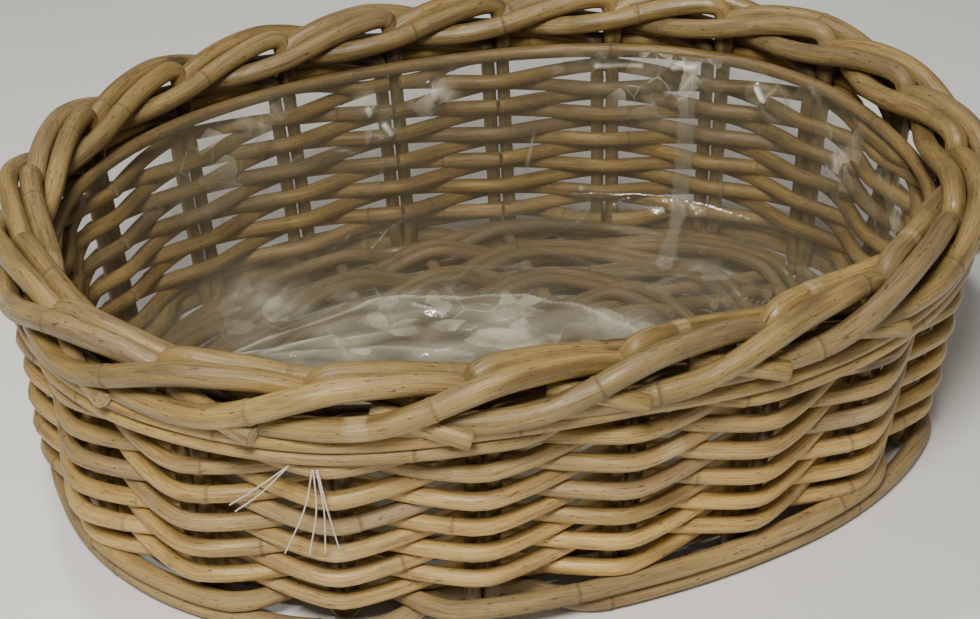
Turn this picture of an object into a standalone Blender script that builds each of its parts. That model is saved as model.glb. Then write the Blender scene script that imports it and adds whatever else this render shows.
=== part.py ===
"""An oval planter basket: thick rattan rods woven on paired stakes, with a clear film liner."""

import math

import bmesh
import bpy
import numpy as np
from mathutils import Vector

for leftover in list(bpy.data.objects):
    bpy.data.objects.remove(leftover, do_unlink=True)

# Driving sizes, in metres. The origin is the middle of the footprint, on the floor.
RIM_HALF_LENGTH = 0.2350
RIM_HALF_WIDTH = 0.1860
FOOT_HALF_LENGTH = 0.2262
FOOT_HALF_WIDTH = 0.1650
OVAL_POWER = 2.3
STAKES = 20
FIRST_STAKE_SHARE = 0.13
GAP = 0.0003
BEND_ROOM = 0.0006

# Rods: each is six-sided, with a flat above and below, and as thick as a round rod of its size.
STAKE_ROD = 0.0080
ROW_ROD = 0.0084
FOOT_ROD = 0.0100
TOP_COURSE_ROD = 0.0080
BORDER_ROD = 0.0088
BASE_ROD = 0.0075
SIX_SIDED_SHARE = 1.1
FLAT_SHARE = math.cos(math.pi / 6)


def reach_of(thickness):
    """Half the width of a six-sided rod, corner to corner."""
    return thickness / 2 * SIX_SIDED_SHARE


def rod_height(thickness):
    """The height of a six-sided rod, flat to flat."""
    return 2 * reach_of(thickness) * FLAT_SHARE


def weave_out(thickness):
    """How far a woven rod's middle lies from the stakes' line."""
    return reach_of(STAKE_ROD) + reach_of(thickness) + GAP + BEND_ROOM


# The weave.
FOOT_COURSES = 2
WALL_ROWS = 11
COURSE_STAKES = 5
FOOT_STAND_OUT = 0.0050
HOLD_SHARE = 0.15
LEG_STAND = 0.0010
ROWS_TOP = FOOT_COURSES * (rod_height(FOOT_ROD) + GAP) + WALL_ROWS * (rod_height(ROW_ROD) + GAP)
WALL_TOP = ROWS_TOP + rod_height(TOP_COURSE_ROD)

# The rolled border. Its shares outwards and up follow the border rod's thickness.
BORDER_OUT_SHARE = 1.28
BORDER_UP_SHARE = 1.18
BORDER_OUT = BORDER_ROD * BORDER_OUT_SHARE
BORDER_UP = BORDER_ROD * BORDER_UP_SHARE
BORDER_STAND_SHARE = 2.55
LEG_TOP_SHARE = 2.26
RIM_HEIGHT = WALL_TOP + BORDER_UP * BORDER_STAND_SHARE
# Each long strand: stake spacings along, shares outwards, shares up from the rim's middle.
LONG_STRAND_SHARES = (
    (0.16, 0.10, -2.00),
    (0.40, 0.50, -1.80),
    (0.70, 1.00, -1.70),
    (1.00, 1.20, -1.55),
    (1.30, 1.25, -1.10),
    (1.65, 1.15, -0.35),
    (2.00, 0.80, 0.50),
    (2.40, 0.30, 0.90),
    (2.70, 0.00, 0.80),
    (3.00, 0.05, -0.20),
    (3.20, 0.00, -0.80),
)
# Each short strand bends straight over along the inner edge, up to the next stake.
SHORT_STRAND_SHARES = (
    (-0.06, -0.10, -2.00),
    (-0.06, -0.80, -1.20),
    (-0.06, -0.95, 0.10),
    (0.06, -0.95, 0.65),
    (0.35, -0.90, 0.80),
    (0.62, -1.05, 0.40),
    (0.77, -1.10, 0.00),
)

# The base. Its shares follow the way from the middle out to the outer ring.
CROSS_STICKS = 3
CROSS_STICK_PITCH_SHARE = 0.26
LONG_STICKS = 4
LONG_STICK_PITCH_SHARE = 0.235
BASE_RINGS = 5
BASE_RING_PITCH_SHARE = 0.11
BASE_STAND = 0.0010
BASE_STEP = 0.030
BASE_LIFT = rod_height(BASE_ROD) + GAP
BASE_HEIGHT = BASE_STAND + BASE_LIFT + rod_height(BASE_ROD) / 2
BASE_HOLD = 2 * reach_of(BASE_ROD) + BEND_ROOM
LONG_STICK_SETTLE = BASE_HOLD + BASE_LIFT
FOOT_REACH = weave_out(FOOT_ROD) + reach_of(FOOT_ROD)
STICK_END_INSET = FOOT_REACH + BEND_ROOM + GAP
BASE_INSET = STICK_END_INSET + reach_of(BASE_ROD)

# The film liner.
LINER_FILM = 0.0010
LINER_CORNER = 0.016
LINER_SEGMENTS = 60
LINER_TOP_DROP = 0.0065
ROW_REACH = weave_out(ROW_ROD) + reach_of(ROW_ROD)
LINER_CLEARANCE = ROW_REACH + BEND_ROOM + 2 * GAP
LINER_BOTTOM = BASE_HEIGHT + BASE_LIFT + rod_height(BASE_ROD) / 2 + 2 * GAP

# The thread ends: stake spacings along, metres outwards, metres below the top course.
THREAD = 0.0012
THREAD_STEP = 0.0036
THREAD_LIFT = 0.0020
THREAD_TUCK = -0.0012
THREAD_LEFT_TUCK = -0.0029
THREAD_LEFT_END = 0.0250
THREAD_RIGHT_END = 0.0510
THREAD_OUT = ROW_REACH + BEND_ROOM + THREAD / 2
THREADS = {
    "thread_left": (
        (12.38, 0, THREAD_LEFT_END),
        (12.56, THREAD_LIFT, THREAD_LEFT_END / 2),
        (12.78, THREAD_LEFT_TUCK, 0),
        (12.60, THREAD_LIFT, THREAD_LEFT_END / 2 + THREAD_LIFT),
        (12.42, THREAD_LIFT, THREAD_LEFT_END + THREAD_LIFT),
    ),
    "thread_middle": (
        (12.70, 0, THREAD_RIGHT_END),
        (12.84, THREAD_LIFT, THREAD_RIGHT_END / 2),
        (12.91, THREAD_TUCK, 0),
        (12.92, THREAD_LIFT, THREAD_RIGHT_END / 2),
        (12.87, 0, THREAD_RIGHT_END),
    ),
    "thread_right": (
        (12.97, 0, THREAD_RIGHT_END - THREAD_LIFT),
        (12.98, THREAD_LIFT, THREAD_RIGHT_END / 2),
        (12.99, THREAD_TUCK, 0),
        (13.04, THREAD_LIFT, THREAD_RIGHT_END / 2),
        (13.05, 0, THREAD_RIGHT_END - THREAD_LIFT * 2),
    ),
}

TURN_SAMPLES = 2880

RATTAN_LIGHT = (0.50, 0.38, 0.23)
RATTAN_GREY = (0.38, 0.30, 0.21)
RATTAN_BROWN = (0.33, 0.24, 0.15)
RATTAN_ROUGHNESS = 0.55
FILM_COLOUR = (0.78, 0.79, 0.77)
FILM_ROUGHNESS = 0.15
THREAD_COLOUR = (0.80, 0.77, 0.70)
THREAD_ROUGHNESS = 0.45

basket = bpy.data.collections.new("planter_basket")
bpy.context.scene.collection.children.link(basket)


def oval(half_length, half_width, angle):
    """The point of an oval, and the way out from it, at an angle from +X."""
    c = math.cos(angle)
    s = math.sin(angle)
    x = half_length * math.copysign(abs(c) ** (2 / OVAL_POWER), c)
    y = half_width * math.copysign(abs(s) ** (2 / OVAL_POWER), s)
    slope_x = math.copysign(abs(x / half_length) ** (OVAL_POWER - 1), x) / half_length
    slope_y = math.copysign(abs(y / half_width) ** (OVAL_POWER - 1), y) / half_width
    return Vector((x, y, 0)), Vector((slope_x, slope_y, 0)).normalized()


def even_angles(half_length, half_width):
    """The oval's angles against the share of the way round it, and its length."""
    angles = np.linspace(0, 2 * math.pi, TURN_SAMPLES + 1)
    points = np.array([oval(half_length, half_width, a)[0][:2] for a in angles])
    steps = np.hypot(*np.diff(points, axis=0).T)
    travelled = np.concatenate(([0], np.cumsum(steps)))
    return angles, travelled / travelled[-1], travelled[-1]


WALL_ANGLES, WALL_SHARES, WALL_LENGTH = even_angles(
    (RIM_HALF_LENGTH + FOOT_HALF_LENGTH) / 2, (RIM_HALF_WIDTH + FOOT_HALF_WIDTH) / 2
)
SPACING = WALL_LENGTH / STAKES


def half_sizes(height):
    """The half length and half width of the stakes' line at a height."""
    share = height / RIM_HEIGHT
    return (
        FOOT_HALF_LENGTH + (RIM_HALF_LENGTH - FOOT_HALF_LENGTH) * share,
        FOOT_HALF_WIDTH + (RIM_HALF_WIDTH - FOOT_HALF_WIDTH) * share,
    )


def wall_point(stake, out, height):
    """A point of the wall: stake spacings round it, how far outwards, and how high."""
    turn = (stake + FIRST_STAKE_SHARE) / STAKES
    angle = float(np.interp(turn % 1, WALL_SHARES, WALL_ANGLES))
    point, away = oval(*half_sizes(height), angle)
    return point + away * out + Vector((0, 0, height))


def material(name, colour, roughness):
    new = bpy.data.materials.new(name)
    new.use_nodes = True
    shader = new.node_tree.nodes["Principled BSDF"]
    shader.inputs["Base Color"].default_value = (*colour, 1)
    shader.inputs["Roughness"].default_value = roughness
    shader.inputs["Metallic"].default_value = 0
    return new


def rod(name, points, reach, colour, closed=False, radii=None, resolution=1):
    """A rod through points, as a bevelled curve that reaches so far from its middle."""
    curve = bpy.data.curves.new(name, "CURVE")
    curve.dimensions = "3D"
    curve.bevel_depth = reach
    curve.bevel_resolution = resolution
    curve.use_fill_caps = not closed
    curve.twist_mode = "Z_UP" if closed else "MINIMUM"
    line = curve.splines.new("POLY")
    line.points.add(len(points) - 1)
    for number, point in enumerate(points):
        line.points[number].co = (*point, 1)
        line.points[number].radius = radii[number] if radii else 1
    line.use_cyclic_u = closed
    roughness = THREAD_ROUGHNESS if colour is THREAD_COLOUR else RATTAN_ROUGHNESS
    curve.materials.append(material(name, colour, roughness))
    piece = bpy.data.objects.new(name, curve)
    basket.objects.link(piece)
    return piece


def wall_ring(name, bottom, thickness, colour, is_outside, stand_out=0):
    """A rod once round the wall, outside or inside each stake, and the height it tops out at."""
    away = weave_out(thickness)
    height = bottom + rod_height(thickness) / 2
    points = []
    for stake in range(STAKES):
        out = away + stand_out if is_outside(stake) else -away
        for side in (-HOLD_SHARE, HOLD_SHARE):
            points.append(wall_point(stake + side, out, height))
    rod(name, points, reach_of(thickness), colour, closed=True)
    return bottom + rod_height(thickness) + GAP


# Foot courses: each stands out past four stakes and passes inside the fifth. The first is the foot.
level = 0
for course in range(FOOT_COURSES):
    name = f"foot_course_{course + 1}"
    inner = COURSE_STAKES - 1 - course
    level = wall_ring(
        name,
        level,
        FOOT_ROD,
        RATTAN_GREY,
        lambda stake: stake % COURSE_STAKES != inner,
        FOOT_STAND_OUT,
    )

# Wall rows: over one pair of stakes, under the next.
for row in range(WALL_ROWS):
    name = f"wall_row_{row + 1:02d}"
    level = wall_ring(name, level, ROW_ROD, RATTAN_LIGHT, lambda stake: (stake + row) % 2 == 1)

# Top course, under the border.
wall_ring(
    "top_course", level, TOP_COURSE_ROD, RATTAN_BROWN, lambda stake: stake % COURSE_STAKES != 0
)


def stake_path(stake):
    """One doubled rod: short strand, leg, bend at the foot, leg, long strand."""
    side = (reach_of(STAKE_ROD) + GAP / 2) / SPACING
    bend_height = LEG_STAND + reach_of(STAKE_ROD)
    leg_bottom = bend_height + reach_of(STAKE_ROD)
    leg_top = RIM_HEIGHT - BORDER_UP * LEG_TOP_SHARE
    path = []
    sizes = []
    for along, out, up in reversed(SHORT_STRAND_SHARES):
        path.append(wall_point(stake + along, out * BORDER_OUT, RIM_HEIGHT + up * BORDER_UP))
        sizes.append(BORDER_ROD / STAKE_ROD)
    path.append(wall_point(stake - side, 0, leg_top))
    path.append(wall_point(stake - side, 0, leg_bottom))
    path.append(wall_point(stake - side, 0, bend_height))
    path.append(wall_point(stake + side, 0, bend_height))
    path.append(wall_point(stake + side, 0, leg_bottom))
    path.append(wall_point(stake + side, 0, leg_top))
    sizes.extend([1] * (len(path) - len(sizes)))
    for along, out, up in LONG_STRAND_SHARES:
        path.append(wall_point(stake + along, out * BORDER_OUT, RIM_HEIGHT + up * BORDER_UP))
        sizes.append(BORDER_ROD / STAKE_ROD)
    return path, sizes


for stake in range(STAKES):
    path, sizes = stake_path(stake)
    rod(f"stake_{stake + 1:02d}", path, reach_of(STAKE_ROD), RATTAN_LIGHT, radii=sizes)


def oval_reach(half_length, half_width, across):
    """How far an oval reaches along its length at a place across it."""
    share = 1 - abs(across / half_width) ** OVAL_POWER
    return half_length * share ** (1 / OVAL_POWER)


# Base sticks: cross sticks lie straight, long sticks weave over and under them.
base_length, base_width = half_sizes(BASE_HEIGHT)
field_length = base_length - BASE_INSET
field_width = base_width - BASE_INSET
cross_pitch = field_length * CROSS_STICK_PITCH_SHARE
long_pitch = field_width * LONG_STICK_PITCH_SHARE
ring_pitch = field_width * BASE_RING_PITCH_SHARE
cross_places = [(n - (CROSS_STICKS - 1) / 2) * cross_pitch for n in range(CROSS_STICKS)]
long_places = [(n - (LONG_STICKS - 1) / 2) * long_pitch for n in range(LONG_STICKS)]

for number, x in enumerate(cross_places):
    reach = oval_reach(base_width - STICK_END_INSET, base_length - STICK_END_INSET, x)
    ends = [Vector((x, -reach, BASE_HEIGHT)), Vector((x, reach, BASE_HEIGHT))]
    rod(f"base_cross_stick_{number + 1}", ends, reach_of(BASE_ROD), RATTAN_GREY)

for number, y in enumerate(long_places):
    reach = oval_reach(base_length - STICK_END_INSET, base_width - STICK_END_INSET, y)
    path = [Vector((-reach, y, BASE_HEIGHT))]
    path.append(Vector((cross_places[0] - LONG_STICK_SETTLE, y, BASE_HEIGHT)))
    for place, x in enumerate(cross_places):
        lift = BASE_LIFT if (place + number) % 2 == 0 else -BASE_LIFT
        for side in (-BASE_HOLD, BASE_HOLD):
            path.append(Vector((x + side, y, BASE_HEIGHT + lift)))
    path.append(Vector((cross_places[-1] + LONG_STICK_SETTLE, y, BASE_HEIGHT)))
    path.append(Vector((reach, y, BASE_HEIGHT)))
    rod(f"base_long_stick_{number + 1}", path, reach_of(BASE_ROD), RATTAN_GREY)


def base_ring(number):
    """A ring of the base: it passes over one stick and under the next."""
    half_length = field_length - number * ring_pitch
    half_width = field_width - number * ring_pitch
    angles, shares, length = even_angles(half_length, half_width)
    turns = []

    def cross(x, y, is_long_stick):
        """Notes where a stick crosses, and how long the ring holds its height there."""
        c = math.copysign(abs(x / half_length) ** (OVAL_POWER / 2), x)
        s = math.copysign(abs(y / half_width) ** (OVAL_POWER / 2), y)
        angle = math.atan2(s, c) % (2 * math.pi)
        away = oval(half_length, half_width, angle)[1]
        across = abs(away.x if is_long_stick else away.y)
        lean = (1 + math.sqrt(1 - across ** 2)) / across
        hold = (1 + lean) * reach_of(BASE_ROD) + BEND_ROOM
        turns.append((float(np.interp(angle, angles, shares)), hold / length))

    for x in cross_places:
        y = oval_reach(half_width, half_length, x)
        cross(x, y, False)
        cross(x, -y, False)
    for y in long_places:
        x = oval_reach(half_length, half_width, y)
        cross(x, y, True)
        cross(-x, y, True)
    turns.sort()
    stops = []
    for place, (turn, hold) in enumerate(turns):
        lift = BASE_LIFT if (place + number) % 2 == 0 else -BASE_LIFT
        stops.append((turn - hold, lift))
        stops.append((turn + hold, lift))
        onward, next_hold = turns[(place + 1) % len(turns)]
        free = (onward - turn) % 1 - hold - next_hold
        extra = max(0, int(free * length / BASE_STEP))
        for step in range(1, extra + 1):
            stops.append((turn + hold + free * step / (extra + 1), 0))
    path = []
    for turn, lift in stops:
        angle = float(np.interp(turn % 1, shares, angles))
        point = oval(half_length, half_width, angle)[0]
        path.append(point + Vector((0, 0, BASE_HEIGHT + lift)))
    rod(f"base_ring_{number + 1}", path, reach_of(BASE_ROD), RATTAN_BROWN, closed=True)


for number in range(BASE_RINGS):
    base_ring(number)


def film_cup():
    """The liner's outer face: an open cup of the wall's inner shape, drawn up in levels."""
    shape = bmesh.new()
    bmesh.ops.create_circle(shape, cap_ends=True, segments=LINER_SEGMENTS, radius=RIM_HEIGHT)
    levels = (
        (LINER_BOTTOM, LINER_CLEARANCE + LINER_CORNER),
        (LINER_BOTTOM + LINER_CORNER, LINER_CLEARANCE),
        (RIM_HEIGHT - LINER_TOP_DROP, LINER_CLEARANCE),
    )
    edge_loop = [edge for edge in shape.edges if edge.is_boundary]
    ring = {corner: number * STAKES / LINER_SEGMENTS for number, corner in enumerate(shape.verts)}
    for level, (height, inset) in enumerate(levels):
        if level:
            grown = bmesh.ops.extrude_edge_only(shape, edges=edge_loop)["geom"]
            edge_loop = [part for part in grown if isinstance(part, bmesh.types.BMEdge)]
            raised = {}
            for corner in (part for part in grown if isinstance(part, bmesh.types.BMVert)):
                below = [edge.other_vert(corner) for edge in corner.link_edges]
                raised[corner] = next(ring[old] for old in below if old in ring)
            ring = raised
        for corner, stake in ring.items():
            corner.co = wall_point(stake, -inset, height)
    bmesh.ops.recalc_face_normals(shape, faces=shape.faces)
    return shape


cup = film_cup()
film_mesh = bpy.data.meshes.new("film_liner")
cup.to_mesh(film_mesh)
cup.free()
film_mesh.materials.append(material("film_liner", FILM_COLOUR, FILM_ROUGHNESS))
film_mesh.shade_smooth()
film = bpy.data.objects.new("film_liner", film_mesh)
basket.objects.link(film)
thicken = film.modifiers.new("film", "SOLIDIFY")
thicken.thickness = LINER_FILM
thicken.offset = -1
thicken.use_even_offset = True

# Thread ends that hang from the stitches under the border, in front.
for name, route in THREADS.items():
    corners = [wall_point(stake, THREAD_OUT + out, ROWS_TOP - drop) for stake, out, drop in route]
    smooth = []
    for place in range(len(corners) - 1):
        before = corners[max(place - 1, 0)]
        after = corners[min(place + 2, len(corners) - 1)]
        start = corners[place]
        end = corners[place + 1]
        steps = max(1, round((end - start).length / THREAD_STEP))
        for step in range(steps):
            t = step / steps
            smooth.append(
                (
                    start * 2
                    + (end - before) * t
                    + (before * 2 - start * 5 + end * 4 - after) * t ** 2
                    + (start * 3 - before - end * 3 + after) * t ** 3
                )
                / 2
            )
    smooth.append(corners[-1])
    rod(name, smooth, THREAD / 2, THREAD_COLOUR, resolution=2)
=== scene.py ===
"""The looks of an oval planter basket: woven rattan rods, a rolled border and a clear film liner."""

import math

import bmesh
import bpy
import numpy as np
from mathutils import Matrix, Vector, noise


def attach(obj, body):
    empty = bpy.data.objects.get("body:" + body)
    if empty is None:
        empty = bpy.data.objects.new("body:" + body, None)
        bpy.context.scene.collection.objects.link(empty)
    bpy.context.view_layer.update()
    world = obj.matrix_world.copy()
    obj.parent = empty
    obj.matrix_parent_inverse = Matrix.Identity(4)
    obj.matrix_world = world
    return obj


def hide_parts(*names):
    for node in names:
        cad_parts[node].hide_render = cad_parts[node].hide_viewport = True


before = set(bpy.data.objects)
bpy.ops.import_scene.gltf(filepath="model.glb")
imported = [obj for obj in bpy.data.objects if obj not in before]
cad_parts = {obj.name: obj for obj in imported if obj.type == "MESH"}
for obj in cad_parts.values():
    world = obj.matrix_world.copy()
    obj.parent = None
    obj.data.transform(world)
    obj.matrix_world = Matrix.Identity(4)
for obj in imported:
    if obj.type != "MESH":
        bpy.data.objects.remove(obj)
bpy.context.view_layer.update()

# ---- Sizes, in metres, as the CAD source has them ----
RIM_HALF_LENGTH = 0.2350
RIM_HALF_WIDTH = 0.1860
FOOT_HALF_LENGTH = 0.2262
FOOT_HALF_WIDTH = 0.1650
OVAL_POWER = 2.3
STAKES = 20
FIRST_STAKE_SHARE = 0.13
RIM_HEIGHT = 0.145077
ROWS_TOP = 0.110976
SPACING = 0.065741
STAKE_RADIUS = 0.0040
STAKE_SIDE = 0.00455
ROW_RADIUS = 0.0042
ROW_OUT = 0.0097
ROW_HEIGHTS = [0.02365 + 0.0083 * number for number in range(11)]
WEAVE_DIP = 0.0015
TOP_COURSE_HEIGHT = 0.1148
UPPER_COURSE_HEIGHT = 0.1224
INNER_COURSE_HEIGHT = 0.1240
INNER_COURSE_INSET = 0.0100
FOOT_RADIUS = 0.0049
FOOT_HEIGHTS = [0.0054, 0.0148]
FOOT_IN = -0.0104
BORDER_RADIUS = 0.0055
LEG_TOP = RIM_HEIGHT - 0.0235
BASE_RADIUS = 0.00375
BASE_HEIGHT = 0.0121
BASE_LIFT = 0.00745
BASE_INSET = 0.0209
STICK_END_INSET = 0.0168
CROSS_STICKS = 3
CROSS_STICK_PITCH_SHARE = 0.26
LONG_STICKS = 4
LONG_STICK_PITCH_SHARE = 0.235
BASE_RING_PITCH_SHARE = 0.11
EDGE_INSET = 0.0115
EDGE_RADIUS = 0.0041
# The edge round's height at five stakes in turn: it goes under one foot course and over the other.
EDGE_HEIGHTS = (0.0086, 0.0086, 0.0086, 0.0052, 0.0146)
TURN_SAMPLES = 2880

THREAD = 0.0007
THREAD_OUT = 0.0155

draws = np.random.default_rng(11)
# Without a seed, noise_vector starts from the clock, and the film's folds shift from run to run.
noise.seed_set(11)


# ---- The camera ----
CAMERA_AZIMUTH = 0.219
CAMERA_ELEVATION = 0.589
CAMERA_ROLL = -0.061
CAMERA_PLACE = Vector((-0.21930, -0.75047, 0.56409))
FOCAL_PIXELS = 1735.4
IMAGE_WIDTH = 980
SENSOR_WIDTH = 36
CAMERA_SHIFT = (0.0932, 0.0296)


def scene_object(name, data):
    """A new object in the scene, unmoved, with this data."""
    made = bpy.data.objects.new(name, data)
    bpy.context.scene.collection.objects.link(made)
    return made


def place_camera():
    level = math.cos(CAMERA_ELEVATION)
    ahead = (math.sin(CAMERA_AZIMUTH) * level, math.cos(CAMERA_AZIMUTH) * level)
    aim = Vector((*ahead, -math.sin(CAMERA_ELEVATION)))
    across = Vector((math.cos(CAMERA_AZIMUTH), -math.sin(CAMERA_AZIMUTH), 0))
    up = across.cross(aim)
    right = across * math.cos(CAMERA_ROLL) + up * math.sin(CAMERA_ROLL)
    top = up * math.cos(CAMERA_ROLL) - across * math.sin(CAMERA_ROLL)
    lens = bpy.data.cameras.new("camera")
    lens.sensor_width = SENSOR_WIDTH
    lens.lens = FOCAL_PIXELS / IMAGE_WIDTH * SENSOR_WIDTH
    lens.shift_x, lens.shift_y = CAMERA_SHIFT
    camera = scene_object("camera", lens)
    turn = Matrix((right, top, -aim)).transposed()
    camera.matrix_world = Matrix.Translation(CAMERA_PLACE) @ turn.to_4x4()
    bpy.context.scene.camera = camera


place_camera()


# ---- The oval and lines on it ----
def oval(half_length, half_width, angle):
    """The point of an oval, and the way out from it, at an angle from +X."""
    c = math.cos(angle)
    s = math.sin(angle)
    x = half_length * math.copysign(abs(c) ** (2 / OVAL_POWER), c)
    y = half_width * math.copysign(abs(s) ** (2 / OVAL_POWER), s)
    slope_x = math.copysign(abs(x / half_length) ** (OVAL_POWER - 1), x) / half_length
    slope_y = math.copysign(abs(y / half_width) ** (OVAL_POWER - 1), y) / half_width
    return Vector((x, y, 0)), Vector((slope_x, slope_y, 0)).normalized()


def even_angles(half_length, half_width):
    """The oval's angles against the share of the way round it."""
    angles = np.linspace(0, 2 * math.pi, TURN_SAMPLES + 1)
    points = np.array([oval(half_length, half_width, a)[0][:2] for a in angles])
    steps = np.hypot(*np.diff(points, axis=0).T)
    travelled = np.concatenate(([0], np.cumsum(steps)))
    return angles, travelled / travelled[-1]


WALL_ANGLES, WALL_SHARES = even_angles(
    (RIM_HALF_LENGTH + FOOT_HALF_LENGTH) / 2, (RIM_HALF_WIDTH + FOOT_HALF_WIDTH) / 2
)


def half_sizes(height):
    share = height / RIM_HEIGHT
    return (
        FOOT_HALF_LENGTH + (RIM_HALF_LENGTH - FOOT_HALF_LENGTH) * share,
        FOOT_HALF_WIDTH + (RIM_HALF_WIDTH - FOOT_HALF_WIDTH) * share,
    )


def clamped(value):
    return min(1.0, max(0.0, value))


def eased(share):
    """From 0 to 1, with a slow start and a slow end."""
    return share * share * (3 - 2 * share)


def hump(places, most, middle, reach):
    """A smooth rise to most at the middle, and back down past its reach."""
    return most * np.exp(-(((places - middle) / reach) ** 2))


# The wall bulges low down at its left end: the middle and the reach in stake spacings, how far at
# most, and the heights at which it starts, is full and ends.
BULGE_STAKE = 10.7
BULGE_REACH = 1.9
BULGE = 0.0070
BULGE_HEIGHTS = (0.012, 0.034, 0.105)


def wall_point(stake, out, height):
    """A point of the wall: stake spacings round it, how far outwards, and how high."""
    turn = (stake + FIRST_STAKE_SHARE) / STAKES
    angle = float(np.interp(turn % 1, WALL_SHARES, WALL_ANGLES))
    point, away = oval(*half_sizes(height), angle)
    near = (stake - BULGE_STAKE + STAKES / 2) % STAKES - STAKES / 2
    swell = BULGE * math.exp(-((near / BULGE_REACH) ** 2))
    swell *= float(np.interp(height, BULGE_HEIGHTS, (0, 1, 0)))
    return point + away * (out + swell) + Vector((0, 0, height))


def smooth_line(points, samples):
    """A centripetal Catmull-Rom curve through points, and each sample's place among them."""
    corners = np.array([tuple(point) for point in points])
    last = len(corners) - 1
    line = []
    places = []
    for span in range(last):
        before, start, end, after = (corners[min(max(span + n, 0), last)] for n in (-1, 0, 1, 2))
        middle = math.sqrt(np.linalg.norm(end - start))
        ahead = math.sqrt(np.linalg.norm(start - before)) or middle
        beyond = math.sqrt(np.linalg.norm(after - end)) or middle
        leave = (start - before) / ahead - (end - before) / (ahead + middle)
        leave = (leave + (end - start) / middle) * middle
        arrive = (end - start) / middle - (after - start) / (middle + beyond)
        arrive = (arrive + (after - end) / beyond) * middle
        if span == 0:
            leave = end - start
        if span == last - 1:
            arrive = end - start
        for step in range(samples):
            t = step / samples
            line.append(
                start * (2 * t**3 - 3 * t**2 + 1)
                + leave * (t**3 - 2 * t**2 + t)
                + end * (3 * t**2 - 2 * t**3)
                + arrive * (t**3 - t**2)
            )
            places.append(span + t)
    line.append(corners[-1])
    places.append(last)
    return np.array(line), np.array(places)


def lengths_along(line):
    steps = np.linalg.norm(np.diff(line, axis=0), axis=1)
    return np.concatenate(([0], np.cumsum(steps)))


def slow_wander(length, step, size):
    """A random value that wanders slowly along a length, as a pair for np.interp."""
    count = max(3, int(length / step) + 2)
    return np.linspace(0, length, count), draws.normal(0, size, count)


# ---- Materials ----
class Finish:
    """A node material under construction."""

    def __init__(self, name):
        self.material = bpy.data.materials.new(name)
        self.material.use_nodes = True
        self.tree = self.material.node_tree
        self.shader = self.tree.nodes["Principled BSDF"]

    def link(self, value, socket):
        if isinstance(value, bpy.types.NodeSocket):
            self.tree.links.new(value, socket)
        else:
            socket.default_value = value

    def node(self, kind, values=None, **settings):
        """A new node with these settings, and with its inputs set or linked."""
        made = self.tree.nodes.new("ShaderNode" + kind)
        for name, value in settings.items():
            setattr(made, name, value)
        for socket, value in (values or {}).items():
            self.link(value, made.inputs[socket])
        return made

    def sum(self, operation, first, second=0.0, third=0.0, clamp=False):
        values = {0: first, 1: second, 2: third}
        return self.node("Math", values, operation=operation, use_clamp=clamp).outputs[0]

    def times(self, first, second, clamp=False):
        return self.sum("MULTIPLY", first, second, clamp=clamp)

    def add(self, value, layers):
        """A value, plus each layer times its share."""
        for layer, share in layers:
            value = self.sum("MULTIPLY_ADD", layer, share, value)
        return value

    def mix(self, share, first, second, blend="MIX"):
        colours = [(*colour, 1) if isinstance(colour, tuple) else colour for colour in (first, second)]
        values = {0: share, 6: colours[0], 7: colours[1]}
        return self.node("Mix", values, data_type="RGBA", blend_type=blend).outputs[2]

    def vectors(self, operation, *values, **named):
        values = {**dict(enumerate(values)), **named}
        return self.node("VectorMath", values, operation=operation).outputs[0]

    def noise(self, vector, detail, roughness):
        values = {"Vector": vector, "Scale": 1, "Detail": detail, "Roughness": roughness}
        return self.node("TexNoise", values).outputs["Fac"]

    def spots(self, scale, detail, roughness, stretch=(1, 1, 1)):
        """Noise through the piece, with so many features a metre."""
        place = self.node("TexCoord").outputs["Object"]
        scaled = self.node("Mapping", {"Vector": place, "Scale": [scale * part for part in stretch]})
        return self.noise(scaled.outputs[0], detail, roughness)

    def cells(self, scale, feature="F1"):
        """Angular cells through the piece, with so many a metre."""
        place = self.node("TexCoord").outputs["Object"]
        return self.node("TexVoronoi", {"Vector": place, "Scale": scale}, feature=feature).outputs

    def channels(self, attribute):
        """The three colours of a piece's attribute, and its alpha."""
        look = self.node("Attribute", attribute_name=attribute).outputs
        return (*self.node("SeparateColor", {0: look["Color"]}).outputs, look["Alpha"])

    def ramp(self, value, low, high):
        """0 below low, 1 above high, smooth between them."""
        values = {"Value": value, "From Min": low, "From Max": high}
        return self.node("MapRange", values, interpolation_type="SMOOTHSTEP").outputs["Result"]

    def vector(self, x, y, z):
        return self.node("CombineXYZ", {0: x, 1: y, 2: z}).outputs[0]

    def bump(self, height, distance, strength, below=None):
        values = {"Strength": strength, "Distance": distance, "Height": height}
        if below is not None:
            values["Normal"] = below
        return self.node("Bump", values).outputs[0]

    def shade(self, name, value):
        self.link(value, self.shader.inputs[name])


def rod_space(finish):
    """Metres along a rod, and the cosine and sine of the way round it, so no seam shows."""
    split = finish.node("SeparateXYZ", {0: finish.node("UVMap").outputs[0]}).outputs
    around = finish.times(split[1], 2 * math.pi)
    return split[0], finish.sum("COSINE", around), finish.sum("SINE", around)


def grain(finish, space, along, around, detail, roughness):
    """Noise in a rod's own space, with so many features per metre and per turn."""
    x, y, z = (finish.times(part, count) for part, count in zip(space, (along, around, around)))
    return finish.noise(finish.vector(x, y, z), detail, roughness)


WEATHERED_LIGHT = (0.40, 0.295, 0.20)
WEATHERED_DARK = (0.19, 0.13, 0.082)
SPECK = (0.075, 0.045, 0.022)
DASH = (0.12, 0.075, 0.035)
GRIME = (0.105, 0.07, 0.036)
BARED_LIGHT = (0.60, 0.46, 0.25)
BARED_DARK = (0.36, 0.26, 0.13)
GROWTH_RING = (0.13, 0.085, 0.045)
STAIN_AND_PAINTED_SHADE = (0.085, 0.055, 0.03)


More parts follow.
